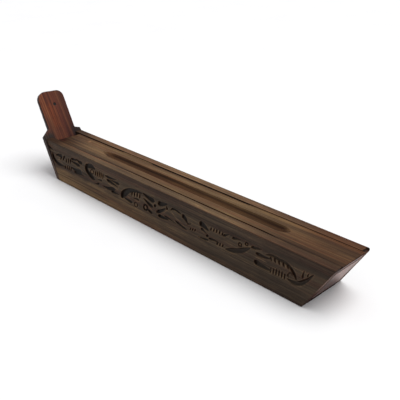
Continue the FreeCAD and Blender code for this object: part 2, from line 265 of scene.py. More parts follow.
def carve_first_flower(carving):
    """A sheaf of leaves running into an arched flower with a fringe."""
    carving.leaf((-61.5, 24.6), (-46.4, 25.8), 2.4, -0.04, 1.0)
    carving.leaf((-60, 22), (-44.2, 19.8), 2.8, 0.0, 1.3)
    carving.leaf((-43, 22.8), (-56, 23), 2.3, 0.0, 1.1)
    carving.leaf((-48, 17), (-65, 15), 3.7, 0.04, 1.3)
    carving.leaf((-53, 14), (-42.8, 14.2), 2.4, 0.0, 1.1)
    carving.ridge([(-58, 19.4), (-51, 18.4), (-44, 17.8)], 1.3)
    carving.ridge([(-62, 13), (-57, 13.4), (-53, 12.6)], 1.1)
    carving.stroke([(-39.6, 12.8), (-38.4, 16.4), (-35, 19.6), (-30, 22.2), (-23, 23.8), (-15, 24.4)],
                   5.2, 1.4, 0.1, 0.85)
    carving.stroke([(-37, 15), (-34.6, 17.6), (-31, 19.8)], 3.2, 1.1, 0.3, 0.6)
    carving.leaf((-26.8, 13.2), (-38, 14.2), 2.7, 0.02, 1.2)
    carving.ridge([(-33.4, 15.6), (-31, 16.2), (-29, 15.4)], 1.6)
    carving.comb((-27.8, 18.6), (-18.6, 19.4), 4.4, 4, 0.3, 1.5, 0.9)
    carving.leaf((-18.8, 17.8), (-26.4, 17.2), 1.7, -0.05, 0.9)
    carving.ridge([(-25, 16), (-21, 16.2), (-18, 16.6)], 1.1)
    carving.bead((-22.4, 13), 1.8, 0.9, 0.5)


def carve_palmette(carving):
    """Leaves that fan out to both sides in the middle of the board."""
    carving.leaf((-1.8, 22.6), (-14.8, 25), 4.2, 0.04, 1.4)
    carving.leaf((-3.2, 17.6), (-14.2, 21.4), 2.9, 0.04, 1.3)
    carving.leaf((-3.4, 12.6), (-9.6, 15.2), 2.4, 0.1, 1.1)
    carving.bead((-11.3, 14.6), 2.1, 1.6, 1.1)
    carving.bead((-1, 19.6), 0.7, 1.4, 1.0)
    carving.ridge([(-8, 17), (-5.4, 15.4), (-3, 14.8)], 1.1)
    carving.leaf((2, 22.4), (12.2, 25.4), 4.2, -0.03, 1.3)
    carving.leaf((1, 15.2), (10.6, 21.4), 3.1, -0.03, 1.3)
    carving.leaf((3, 13.4), (14.6, 13.6), 3.1, 0.0, 1.2)
    carving.leaf((12.2, 21), (11.2, 23.6), 1.9, 0.0, 0.9)
    carving.ridge([(6, 16), (9.4, 18), (13.6, 22.6)], 1.2)


def carve_second_scroll(carving):
    """A thin arched stem with drooping leaves, then a leaf bundle, towards the tail."""
    carving.stroke([(15.5, 21.8), (18, 23.6), (22, 23.6), (27, 22.4)], 1.8, 0.9)
    carving.leaf((28, 22.4), (33.6, 18), 3.7, 0.08, 1.1)
    carving.leaf((9.4, 15.4), (22.6, 13.4), 1.8, 0.02, 0.8)
    carving.stroke([(21, 15.8), (26, 14.4), (33.5, 12.8)], 1.8, 0.9)
    carving.ridge([(14.5, 23.4), (19, 19.4), (25, 16.8), (30, 16)], 1.2)
    carving.leaf((33.4, 17.6), (37.4, 19.2), 1.4, 0.0, 0.7)
    carving.comb((36.4, 14.2), (41, 14.8), 2.2, 3, 0.5, 1.2)
    carving.leaf((45.2, 23), (54, 19.8), 4.6, 0.05, 1.2)
    carving.leaf((46.4, 19.6), (53, 17), 2.0, 0.0, 0.8)
    carving.leaf((54.4, 13.4), (44.6, 12.4), 1.9, 0.03, 1.0)
    carving.bead((53, 16.2), 0.5, 1.5, 0.9)
    carving.leaf((54.4, 14.8), (65, 15), 1.9, 0.05, 1.0)
    carving.comb((55.6, 21), (66, 21.4), 3.2, 5, 0.4, 1.2)
    carving.comb((62.4, 13), (67.4, 13.4), 2.6, 3, 0.2, 1.2)
    carving.leaf((67, 21.6), (72, 24.6), 1.9, 0.0, 0.8)


def carve_tail_flower(carving):
    """The long sweep and the last arched flower with its bud, near the tail."""
    carving.stroke([(70, 13), (76, 14.6), (82, 16.8), (87, 19.8), (90.5, 22.4)], 3.8, 1.1, 0.3, 0.35)
    carving.leaf((74.6, 23), (82, 24.4), 2.0, 0.02, 1.0)
    carving.bead((81.8, 21), 1.2, 1.1, 0.7)
    carving.bead((87.2, 23.6), 1.1, 1.0, 0.7)
    carving.leaf((91, 23), (99.6, 24.8), 2.4, 0.0, 1.0)
    carving.leaf((95, 20.6), (107.4, 21.4), 2.9, -0.04, 1.2)
    carving.leaf((94.6, 14.8), (108.6, 13.6), 4.2, -0.02, 1.2)
    carving.ridge([(94.6, 17.8), (99, 18.2), (104.6, 17.6)], 1.3)
    carving.stroke([(102.6, 22.6), (107.6, 24), (113, 23.6), (118, 23.6), (122.4, 21.6), (125.8, 18.4),
                    (127.4, 15.6)], 2.2, 1.1, 0.3, 0.15)
    for hang in (106.6, 109.8, 113, 116.4, 119.6):
        carving.stroke([(hang, 23.4), (hang + 0.5, 21.6), (hang + 1.4, 20)], 1.2, 0.7, 0.2, 0.5)
        carving.ridge([(hang + 1.4, 22.6), (hang + 2, 21.2), (hang + 2.6, 19.8)], 0.9)
    carving.comb((108, 11.8), (118.8, 12.2), 5.4, 6, 0.0, 1.0, 0.5)
    carving.stroke([(121.6, 14.4), (121, 17), (123, 18.6), (124.6, 16.6)], 1.0, 0.5)
    carving.stroke([(120.6, 13.8), (125.6, 13.4), (130, 14.8), (134, 18.4), (136.4, 21.4), (138.4, 24.4)],
                   3.2, 1.1, 0.25, 0.5)
    carving.leaf((131.4, 18.6), (132, 24.4), 1.4, 0.05, 0.7)
    carving.leaf((134.6, 21), (135.4, 24.6), 1.1, 0.05, 0.6)


def carve_vine(carving):
    """A running vine: scrolled stems, fringed flowers and sheaves of pointed leaves."""
    carve_head_scrolls(carving)
    carve_first_flower(carving)
    carve_palmette(carving)
    carve_second_scroll(carving)
    carve_tail_flower(carving)


# ---------------------------------------------------------------- mesh building

SHARP_EDGE = math.radians(38)
EASED_EDGE = math.radians(40)
RIM_EASE = 0.35 * MM  # rounding of the carved boards' end rims
LID_EASE = 0.3 * MM
BOARD_EASE = 0.3 * MM
PIN_EASE = 0.08 * MM


def ring_mesh(name, rings, attributes):
    """A closed mesh skinned over equal rings of points and capped at both ends."""
    count, size = rings.shape[:2]
    mesh = bpy.data.meshes.new(name)
    index = np.arange(count * size).reshape(count, size)
    following = np.roll(index, -1, axis=1)
    sides = np.stack([index[:-1], following[:-1], following[1:], index[1:]], -1).reshape(-1, 4)
    faces = sides.tolist() + [index[0, ::-1].tolist(), index[-1].tolist()]
    mesh.from_pydata(rings.reshape(-1, 3).tolist(), [], faces)
    for key, values in attributes.items():
        layer = mesh.attributes.new(key, "FLOAT", "POINT")
        layer.data.foreach_set("value", values.astype(np.float32).ravel())
    weigh_rims(mesh, count, size)
    outward(mesh)
    return mesh


def weigh_rims(mesh, count, size):
    """Mark the rims of the two end caps, so that a bevel eases only those edges."""
    last = (count - 1) * size
    layer = mesh.attributes.new("bevel_weight_edge", "FLOAT", "EDGE")
    for edge in mesh.edges:
        a, b = edge.vertices
        on_rim = (a < size and b < size) or (a >= last and b >= last)
        layer.data[edge.index].value = 1.0 if on_rim else 0.0


def outward(mesh):
    """Turn every face's normal outwards."""
    work = bmesh.new()
    work.from_mesh(mesh)
    bmesh.ops.recalc_face_normals(work, faces=work.faces)
    work.to_mesh(mesh)
    work.free()


def new_piece(name, mesh, body, node, material):
    """A visible piece that stands for a CAD node and rides on its body."""
    piece = bpy.data.objects.new(name, mesh)
    bpy.context.scene.collection.objects.link(piece)
    mesh.materials.append(material)
    mesh.shade_smooth()
    mesh.set_sharp_from_angle(angle=SHARP_EDGE)
    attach(piece, body)
    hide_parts(node)
    return piece


def ease(piece, width, by_weight=True):
    """Round a piece's edges: those marked by weight, or all that are sharp."""
    bevel = piece.modifiers.new("ease", "BEVEL")
    bevel.width = width
    bevel.segments = 2
    bevel.limit_method = "WEIGHT" if by_weight else "ANGLE"
    bevel.angle_limit = EASED_EDGE
    bevel.harden_normals = False


def weld(piece):
    """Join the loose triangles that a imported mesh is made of."""
    modifier = piece.modifiers.new("weld", "WELD")
    modifier.merge_threshold = WELD_REACH


def arc(centre, radius, start, end, steps):
    """Points of an arc in the section plane; angles in degrees."""
    turns = np.radians(np.linspace(start, end, steps))
    return [(centre[0] + radius * math.cos(a), centre[1] + radius * math.sin(a)) for a in turns]


# ---------------------------------------------------------------- side walls

CARVED_LOW, CARVED_HIGH = 10.5 * MM, 28.5 * MM
GRID_STEP = 0.31 * MM
ROWS_BELOW, ROWS_ABOVE = 7, 5  # coarser rows of the outer face below and above the carving
ARRIS = 0.7 * MM
INNER_ARRIS = 0.15 * MM
TONGUE_ROOM = 0.15 * MM  # clearance under the lid's tongue, and over it
GROOVE_WIDTH, GROOVE_DEPTH = 2.3 * MM, 2.4 * MM
GROOVE_LOW = LID_LOW.z - TONGUE_ROOM
GROOVE_HIGH = GROOVE_LOW + GROOVE_WIDTH
TAIL_SANDING = 0.2 * MM
PLANED_FADE = 4 * MM  # the unevenness fades out this far from a face's edges
FULL_DARK_DEPTH = 1.2 * MM  # a cut this deep gets all of its near-black paint: dark stain and painted shade
INNER, OUTER, GROOVE = 0.0, 1.0, 2.0  # what a row of a side board's section belongs to
NEAR_CORNER, FAR_CORNER = 0.6 * MM, 2.6 * MM  # how far the tail's top corners are worn round


def wall_section():
    """A side board's section: rows of distance from the middle, height and INNER, OUTER or GROOVE.

    The GROOVE rows lie on the inner face here. They are sunk into the board where the groove runs.
    """
    heights = list(np.linspace(ARRIS, CARVED_LOW, ROWS_BELOW)[:-1])
    heights += list(np.linspace(CARVED_LOW, CARVED_HIGH, int((CARVED_HIGH - CARVED_LOW) / GRID_STEP)))
    heights += list(np.linspace(CARVED_HIGH, HEIGHT - ARRIS, ROWS_ABOVE)[1:])
    section = [(outer_y(z), z, OUTER) for z in heights]
    crest = outer_y(HEIGHT) - ARRIS
    inner_crest = outer_y(HEIGHT) - WALL_THICKNESS + INNER_ARRIS
    inner = arc((crest, HEIGHT - ARRIS), ARRIS, 15, 90, 5)
    inner += [(mix(crest, inner_crest, share), HEIGHT) for share in (0.25, 0.5, 0.75)]
    inner += arc((inner_crest, HEIGHT - INNER_ARRIS), INNER_ARRIS, 90, 165, 3)
    section += [(y, z, INNER) for y, z in inner]
    inner_high = outer_y(GROOVE_HIGH) - WALL_THICKNESS
    inner_low = outer_y(GROOVE_LOW) - WALL_THICKNESS
    section += [(inner_high, GROOVE_HIGH, INNER), (inner_high, GROOVE_HIGH, GROOVE)]
    section += [(inner_low, GROOVE_LOW, GROOVE), (inner_low, GROOVE_LOW, INNER)]
    section += [(outer_y(0) - WALL_THICKNESS, 0.0, INNER), (outer_y(0) - ARRIS, 0.0, INNER)]
    section += [(outer_y(0) - 0.3 * ARRIS, 0.3 * ARRIS, INNER)]
    return np.array(section)


def tail_rounding(z, radius):
    """How far the tail end is rounded back at a height, for a top corner of the given radius."""
    rise = np.clip(z - (HEIGHT - radius), 0, radius)
    return radius - np.sqrt(np.maximum(radius ** 2 - rise ** 2, 0))


def side_wall(node, side, material, seed, corner):
    """A carved side board; side is -1 for the near one and 1 for the far one."""
    y, z, kind = wall_section().T
    stations = np.linspace(0, 1, int((WALL_HIGH.x - WALL_LOW.x) / GRID_STEP))
    tail = wall_tail_x(z) - TAIL_SANDING - tail_rounding(z, corner)
    x = mix(wall_head_x(z)[None, :], tail[None, :], stations[:, None])
    up = np.broadcast_to(z, x.shape)
    reach = np.broadcast_to(y, x.shape).copy()
    on_face = np.broadcast_to(kind == OUTER, x.shape)
    carving = Carving(x, up)
    carve_vine(carving)
    depth = carving.depth.reshape(x.shape) * MM * on_face
    rubbed_highlight = carving.rubbed_highlight.reshape(x.shape) * on_face
    fade = np.clip(np.minimum(up, HEIGHT - up) / PLANED_FADE, 0, 1)
    reach -= depth + PLANING * ripple(x, up, seed) * on_face * fade
    in_groove = np.broadcast_to(kind == GROOVE, x.shape) & (x > LID_LOW.x)
    reach += GROOVE_DEPTH * in_groove
    on_top = up > HEIGHT - SAME_HEIGHT
    sink = PLANING * ripple(x, reach, seed + 1) * on_top
    rings = np.stack([x, side * reach, up - sink], -1)
    mesh = ring_mesh(f"carved_{node}", rings, {"carve": depth / FULL_DARK_DEPTH, "rubbed_highlight": rubbed_highlight})
    piece = new_piece(f"carved_{node}", mesh, BODY_BOX, node, material)
    ease(piece, RIM_EASE)


# ---------------------------------------------------------------- lid

TROUGH_HEAD, TROUGH_TAIL = -89.7 * MM, 106.5 * MM
TROUGH_HEAD_TAPER, TROUGH_TAIL_TAPER = 17 * MM, 9 * MM
TROUGH_WIDTH, TROUGH_DEPTH = 8.7 * MM, 3.0 * MM
THINNEST_TROUGH = 0.02 * MM
TONGUE_HEIGHT = 2.0 * MM
LID_ARRIS = 0.15 * MM
LID_SEED = 21
LID_STATIONS = 900
FLANK_STEPS, TROUGH_STEPS = 9, 25
FAR_GAP_HEAD, FAR_GAP_TAIL, FAR_GAP_PINCH = 0.95 * MM, 0.03 * MM, 0.65 * MM
NEAR_GAP_ENDS, NEAR_GAP_MIDDLE = 0.55 * MM, 1.6 * MM
OPEN_GAP = 0.5 * MM  # a wider far gap than this has painted shade along its edge
NEAR_SEAM_SHADE = (1.2 * MM, 2.7 * MM)  # how far in from the edge the painted seam shade starts to fade, and ends
FAR_SEAM_SHADE = (0.8 * MM, 1.9 * MM)


def trough_radius(x):
    """The round cutter's radius at a station, and its height above the lid's top."""
    full = (TROUGH_WIDTH ** 2 / 4 + TROUGH_DEPTH ** 2) / (2 * TROUGH_DEPTH)
    from_head = np.clip((x - TROUGH_HEAD) / TROUGH_HEAD_TAPER, 0, 1)
    from_tail = np.clip((TROUGH_TAIL - x) / TROUGH_TAIL_TAPER, 0, 1)
    reach = math.sin(min(from_head, from_tail) * math.pi / 2)
    return full - TROUGH_DEPTH * (1 - reach), full - TROUGH_DEPTH


def far_gap(x):
    """The worn gap along the far edge: wide at the head and the middle, almost closed at the tail."""
    closing = ease_between(x, 58 * MM, 68 * MM)
    pinch = ease_between(x, -82 * MM, -72 * MM) - ease_between(x, -44 * MM, -32 * MM)
    return mix(FAR_GAP_HEAD, FAR_GAP_TAIL, closing) - FAR_GAP_PINCH * pinch


def near_gap(x):
    """The worn gap along the near edge: widest in the middle."""
    middle = ease_between(x, -60 * MM, -20 * MM) - ease_between(x, 92 * MM, 110 * MM)
    return mix(NEAR_GAP_ENDS, NEAR_GAP_MIDDLE, middle)


def lid_ring(x, crown, neck, tongue):
    """Section of the lid at a station, from the near top edge over the trough and round underneath.

    The half widths are the lid's between the side boards at the top, the same just above the tongues,
    and that of the tongues.
    """
    top, under = LID_HIGH.z, LID_LOW.z
    step = under + TONGUE_HEIGHT
    radius, axis = trough_radius(x)
    half = math.sqrt(max(radius ** 2 - axis ** 2, THINNEST_TROUGH ** 2))
    near, far = near_gap(x), far_gap(x)
    flanks = np.linspace(0, 1, FLANK_STEPS)
    ring = [(-mix(crown - near - LID_ARRIS, half, share), top) for share in flanks]
    for across in half * np.linspace(-1, 1, TROUGH_STEPS)[1:-1]:
        ring.append((across, top + axis - math.sqrt(max(radius ** 2 - across ** 2, axis ** 2))))
    ring += [(mix(half, crown - far - LID_ARRIS, share), top) for share in flanks]
    for side, gap in ((1, far), (-1, near)):
        corner = [(crown - gap - LID_ARRIS * 0.3, top - LID_ARRIS * 0.3), (crown - gap, top - LID_ARRIS),
                  (neck - gap, step), (tongue - LID_ARRIS / 2, step), (tongue, step - LID_ARRIS / 2),
                  (tongue, under + LID_ARRIS / 2), (tongue - LID_ARRIS / 2, under)]
        corner = [(side * y, z) for y, z in corner]
        ring += corner if side > 0 else corner[::-1]
    return ring


def trough_lid(material):
    """The lid with its trough, its arrises and the worn gaps along its edges."""
    top, under = LID_HIGH.z, LID_LOW.z
    crown = outer_y(top) - WALL_THICKNESS
    neck = outer_y(under + TONGUE_HEIGHT) - WALL_THICKNESS
    head, tail_top = LID_LOW.x, LID_HIGH.x
    tail_under = level("lid", under)[1][0]
    rings = []
    for station in np.linspace(0, 1, LID_STATIONS):
        ring = lid_ring(mix(head, tail_top, station), crown, neck, LID_HIGH.y)
        tails = [mix(tail_under, tail_top, (z - under) / (top - under)) for _, z in ring]
        rings.append([(mix(head, tail, station), y, z) for (y, z), tail in zip(ring, tails)])
    rings = np.array(rings)
    x, y, z = rings[..., 0], rings[..., 1], rings[..., 2]
    hollow = np.clip((top - z) / TROUGH_DEPTH, 0, 1) * (np.abs(y) < TROUGH_WIDTH / 2)
    near_edge = 1 - ease_between(y + crown, *NEAR_SEAM_SHADE)
    far_edge = (1 - ease_between(crown - y, *FAR_SEAM_SHADE)) * (far_gap(x) > OPEN_GAP)
    on_top = z > top - SAME_HEIGHT
    rings[..., 2] -= PLANING * ripple(x, y, LID_SEED) * on_top
    mesh = ring_mesh("trough_lid", rings, {"hollow": hollow, "seam_shade": np.maximum(near_edge, far_edge)})
    piece = new_piece("trough_lid", mesh, BODY_LID, "lid", material)
    ease(piece, LID_EASE)


# ---------------------------------------------------------------- stick holder

PLATE_VOXEL = 0.32 * MM
PLATE_RELAXING = 6
RELAX_SHARE = 0.5
HOLE_MARGIN = 1.3  # how far round the hole the plate is kept true, in the hole's radii
END_FACING = 0.8  # a vertex whose normal is nearer to the hole's axis than this lies on the faces
FOOT_ROUNDING = 4.5 * MM


def relax(mesh, rounds, held):
    """Average every vertex with its neighbours, except the held ones."""
    count = len(mesh.vertices)
    points = np.empty(count * 3)
    mesh.vertices.foreach_get("co", points)
    points = points.reshape(-1, 3)
    ends = np.empty(len(mesh.edges) * 2, int)
    mesh.edges.foreach_get("vertices", ends)
    a, b = ends.reshape(-1, 2).T
    neighbours = np.bincount(np.concatenate([a, b]), minlength=count)[:, None]
    for _ in range(rounds):
        total = np.zeros_like(points)
        np.add.at(total, a, points[b])
        np.add.at(total, b, points[a])
        step = (total / neighbours - points) * RELAX_SHARE
        step[held] = 0
        points += step
    mesh.vertices.foreach_set("co", points.ravel())
    mesh.update()
    return points


def round_foot(points):
    """Wear the end plate's lower outer edge round, where the box is dragged and set down."""
    lean = math.radians(HEAD_LEAN)
    toe = level("stick_holder", 0.0)[0][0]
    centre = np.array([toe + FOOT_ROUNDING * (1 - math.sin(lean)) / math.cos(lean), FOOT_ROUNDING])
    arm = points[:, [0, 2]] - centre
    past = (arm[:, 0] < 0) & (arm[:, 1] < math.tan(lean) * arm[:, 0])
    length = np.maximum(np.linalg.norm(arm, axis=1), FOOT_ROUNDING)
    arm *= (FOOT_ROUNDING / length)[:, None]
    points[past, 0] = centre[0] + arm[past, 0]
    points[past, 2] = centre[1] + arm[past, 1]


def voxel_copy(node, name):
    """An evenly meshed copy of a CAD node, whose sharp edges can be worn round."""
    mesh = frame["nodes"][node].data.copy()
    blank = bpy.data.objects.new("blank", mesh)
    bpy.context.scene.collection.objects.link(blank)
    weld(blank)
    remesh = blank.modifiers.new("remesh", "REMESH")
    remesh.mode = "VOXEL"
    remesh.voxel_size = PLATE_VOXEL
    graph = bpy.context.evaluated_depsgraph_get()
    copy = bpy.data.meshes.new_from_object(blank.evaluated_get(graph))
    bpy.data.objects.remove(blank)
    bpy.data.meshes.remove(mesh)
    copy.name = name
    copy.materials.clear()
    return copy


def worn_stick_holder(material):
    """The end plate with its edges worn round by hand and its stick hole kept true."""
    mesh = voxel_copy("stick_holder", "worn_stick_holder")
    centre, axis, radius = bore("stick_hole")
    offset = np.array([v.co for v in mesh.vertices]) - centre
    radial = offset - np.outer(offset @ axis, axis)
    distance = np.linalg.norm(radial, axis=1)
    near_hole = distance < radius * HOLE_MARGIN
    points = relax(mesh, PLATE_RELAXING, near_hole)
    normals = np.array([v.normal for v in mesh.vertices])
    on_wall = near_hole & ((np.abs(normals @ axis) < END_FACING) | (distance < radius))
    points[on_wall] += radial[on_wall] * (radius / distance[on_wall] - 1)[:, None]
    points[:, 2] = np.maximum(points[:, 2], 0)
    round_foot(points)
    mesh.vertices.foreach_set("co", points.ravel())
    mesh.update()
    new_piece("worn_stick_holder", mesh, BODY_BOX, "stick_holder", material)


# ---------------------------------------------------------------- CAD nodes that stay

def dress_node(node, material, width):
    """Give a CAD node its material and softened edges; its mesh stays as packed."""
    piece = frame["nodes"][node]
    piece.data.materials.clear()
    piece.data.materials.append(material)
    weld(piece)
    ease(piece, width, by_weight=False)


# ---------------------------------------------------------------- materials

X, Y, Z = 0, 1, 2
BLACK, WHITE = (0, 0, 0), (1, 1, 1)


class Nodes:
    """Short hand for building a material's node tree."""

    def __init__(self, name):
        self.material = bpy.data.materials.new(name)
        self.material.use_nodes = True
        self.tree = self.material.node_tree
        self.shader = self.tree.nodes["Principled BSDF"]
        self.place = self.add("ShaderNodeTexCoord").outputs["Object"]

    def add(self, kind, settings=None, **inputs):
        node = self.tree.nodes.new(kind)
        for key, value in (settings or {}).items():
            setattr(node, key, value)
        for key, value in inputs.items():
            self.put(value, node.inputs[key.replace("_", " ")])
        return node

    def put(self, value, socket):
        if isinstance(value, bpy.types.NodeSocket):
            self.tree.links.new(value, socket)
        else:
            socket.default_value = value

    def maths(self, operation, a, b=0.0, clamp=False):
        node = self.add("ShaderNodeMath", {"operation": operation, "use_clamp": clamp})
        self.put(a, node.inputs[0])
        self.put(b, node.inputs[1])
        return node.outputs[0]

    def both(self, a, b):
        """Where two masks overlap, or one number times another."""
        return self.maths("MULTIPLY", a, b)

    def outside(self, mask, share=1.0):
        """What a mask leaves: 1 outside it, and 1 - share inside it."""
        return self.maths("SUBTRACT", 1.0, self.both(mask, share))

    def vector(self, operation, a, b):
        node = self.add("ShaderNodeVectorMath", {"operation": operation})
        self.put(a, node.inputs[0])
        self.put(b, node.inputs[1])
        return node.outputs["Value" if operation == "DISTANCE" else "Vector"]

    def ramp(self, value, stops):
        node = self.add("ShaderNodeValToRGB")
        elements = node.color_ramp.elements
        while len(elements) < len(stops):
            elements.new(0.5)
        for element, (place, colour) in zip(elements, stops):
            element.position = place
            element.color = (*colour, 1.0)
        self.put(value, node.inputs[0])
        return node.outputs[0]

    def rise(self, value, low, high):
        """0 below low, 1 above high, straight in between."""
        return self.ramp(value, [(low, BLACK), (high, WHITE)])

    def blend(self, share, a, b, kind="MIX"):
        settings = {"data_type": "RGBA", "blend_type": kind, "clamp_factor": True}
        node = self.add("ShaderNodeMix", settings)
        self.put(share, node.inputs["Factor"])
        self.put(a, node.inputs["A"])
        self.put(b, node.inputs["B"])
        return node.outputs["Result"]

    def noise(self, place, stretch, offset, detail=4.0, roughness=0.55, distortion=0.0):
        """Noise with its own stretch along each axis, in cycles per millimetre."""
        mapping = self.add("ShaderNodeMapping", Vector=place, Location=offset,
                           Scale=[cycles / MM for cycles in stretch])
        noise = self.add("ShaderNodeTexNoise", Vector=mapping.outputs[0], Scale=1.0, Detail=detail,
                         Roughness=roughness, Distortion=distortion)
        return noise.outputs["Fac"]

    def bump(self, height, strength, distance):
        node = self.add("ShaderNodeBump", Strength=strength, Distance=distance, Height=height)
        self.put(node.outputs[0], self.shader.inputs["Normal"])


class Wood(Nodes):
    """Stained open-grained hardwood, its streaks running along X once the piece is turned about Y."""

    SEED_SPREAD = 90  # how far apart the pieces' seeds may place their grain
    NEXT_FIELD = 7.3  # and how far apart one piece's own layers of noise are
    PORE_DARKNESS = 0.35  # the pores' colour as a share of the wood's dark one
    FIBRE_ROUGHNESS, PORE_ROUGHNESS = 0.25, 0.2
    FIBRE_HEIGHT, PORE_DEPTH = 0.5, 0.8

    def __init__(self, name, palette, seed, lean=0.0):
        super().__init__(name)
        self.palette = palette
        turned = self.add("ShaderNodeVectorRotate", {"rotation_type": "Y_AXIS"}, Vector=self.place,
                          Angle=math.radians(lean))
        self.turned = turned.outputs[0]
        self.normal = self.add("ShaderNodeNewGeometry").outputs["Normal"]
        self.shift = np.random.default_rng(seed).uniform(0, self.SEED_SPREAD, 3)
        self.colour = self._figure()

    def field(self, along, across, detail=4.0, roughness=0.55, distortion=0.0):
        """Noise stretched along the grain; both scales in cycles per millimetre."""
        self.shift = self.shift + self.NEXT_FIELD
        return self.noise(self.turned, (along, across, across), self.shift, detail, roughness, distortion)

    def _figure(self):
        """Broad bands and streaks, red patches, dark lines, fibres, slow changes of tone and pores."""
        dark, body, light, red = self.palette
        broad = self.field(0.005, 0.13, detail=5.0, roughness=0.6, distortion=0.5)
        streak = self.field(0.010, 0.62, detail=6.0, roughness=0.65, distortion=0.4)
        self.fibres = self.field(0.05, 3.6, detail=3.0, roughness=0.6)
        open_grain = self.field(0.2, 6.5, detail=2.0, roughness=0.5)
        self.pores = self.ramp(open_grain, [(0.28, WHITE), (0.40, BLACK)])
        figure = self.maths("ADD", self.both(broad, 0.5), self.both(streak, 0.5))
        colour = self.ramp(figure, [(0.36, dark), (0.47, body), (0.60, light)])
        redness = self.rise(self.field(0.007, 0.28, roughness=0.6, distortion=0.5), 0.46, 0.66)
        colour = self.blend(self.both(redness, 0.7), colour, (*red, 1.0))
        thin = self.field(0.006, 1.1, detail=3.0, roughness=0.7)
        lines = self.ramp(thin, [(0.36, (0.45, 0.42, 0.4)), (0.46, WHITE)])
        colour = self.blend(0.8, colour, lines, "MULTIPLY")
        shade = self.ramp(self.fibres, [(0.3, (0.74, 0.72, 0.70)), (0.7, (1.22, 1.2, 1.18))])
        colour = self.blend(1.0, colour, shade, "MULTIPLY")
        slow = self.field(0.018, 0.05, detail=3.0, roughness=0.5)
        tone = self.ramp(slow, [(0.3, (0.8, 0.8, 0.82)), (0.7, (1.2, 1.17, 1.14))])
        colour = self.blend(1.0, colour, tone, "MULTIPLY")
        pore_colour = (*[c * self.PORE_DARKNESS for c in dark], 1.0)
        return self.blend(self.both(self.pores, 0.7), colour, pore_colour)

    def attribute(self, name):
        return self.add("ShaderNodeAttribute", {"attribute_name": name}).outputs["Fac"]

    def axis(self, index, vector=None):
        split = self.add("ShaderNodeSeparateXYZ", Vector=self.place if vector is None else vector)
        return split.outputs[index]

    def between(self, value, none, full):
        """A mask that is 0 at none, 1 at full and smooth in between, whichever of them is higher."""
        scaled = self.add("ShaderNodeMapRange", {"interpolation_type": "SMOOTHSTEP"}, Value=value,
                          From_Min=none, From_Max=full)
        return scaled.outputs[0]

    def zone(self, axis, none, full):
        """A mask over the piece from one place on an axis to another, both in millimetres."""
        return self.between(self.axis(axis), none * MM, full * MM)

    def facing(self, axis, none, full):
        """A mask of the faces whose outward direction lies along an axis, between two shares of 1."""
        return self.between(self.axis(axis, self.normal), none, full)

    def sloped_end(self):
        """The undercut end faces."""
        facing = self.between(self.maths("ABSOLUTE", self.axis(X, self.normal)), 0.5, 0.75)
        return self.both(facing, self.facing(Z, 0.0, -0.3))

    def spot(self, centre, radius, soft):
        """A ball round a place in millimetres, fading out over a soft edge."""
        away = self.vector("DISTANCE", self.place, [c * MM for c in centre])
        return self.between(away, (radius + soft) * MM, radius * MM)

    def paint(self, share, colour):
        self.colour = self.blend(share, self.colour, (*colour, 1.0))

    def stain_and_light(self, share, colour):
        """Multiply the wood's colour: under 1 darkens it, over 1 lightens it; used for stains and for
        painted light and shade alike.
        """
        self.colour = self.blend(share, self.colour, (*colour, 1.0), "MULTIPLY")

    def finish(self, roughness, gloss):
        """Join everything to the shader; roughness is that of the smoothest wood between the fibres."""
        rough = self.maths("ADD", self.both(self.fibres, self.FIBRE_ROUGHNESS), roughness)
        rough = self.maths("ADD", rough, self.both(self.pores, self.PORE_ROUGHNESS), clamp=True)
        relief = self.maths("SUBTRACT", self.both(self.fibres, self.FIBRE_HEIGHT),
                            self.both(self.pores, self.PORE_DEPTH))
        self.bump(relief, strength=0.35, distance=0.12 * MM)
        inputs = self.shader.inputs
        self.put(self.colour, inputs["Base Color"])
        self.put(rough, inputs["Roughness"])
        self.put(gloss, inputs["Specular IOR Level"])
        return self.material


# The dark, body, light and reddish colours of each wood.
# The side boards' palette is kept darker than the lid's as painted shade on their upright outer faces;
# board_wood lightens their tops again as painted light.
SHADED_SIDE_PALETTE = ((0.018, 0.012, 0.0090), (0.040, 0.0275, 0.0185),
                (0.072, 0.050, 0.031), (0.052, 0.026, 0.017))
TOP_PALETTE = ((0.036, 0.020, 0.0095), (0.108, 0.063, 0.029),
               (0.225, 0.145, 0.066), (0.125, 0.052, 0.023))
TAB_PALETTE = ((0.040, 0.011, 0.007), (0.115, 0.034, 0.015),
               (0.26, 0.095, 0.033), (0.095, 0.018, 0.011))
# Near-black painted into the carved cuts as dark stain and painted shade, and round the stick hole as
# painted shade.
NEAR_BLACK = (0.010, 0.0080, 0.0068)
FACE_GLOSS = 0.12


def darken_ends(wood, where, head_stain, tail_stain):
    """Handled and smoked ends: darker and redder towards both ends of the box."""
    wood.stain_and_light(wood.both(wood.zone(X, -95, -135), where), head_stain)
    wood.stain_and_light(wood.both(wood.zone(X, 55, 135), where), tail_stain)


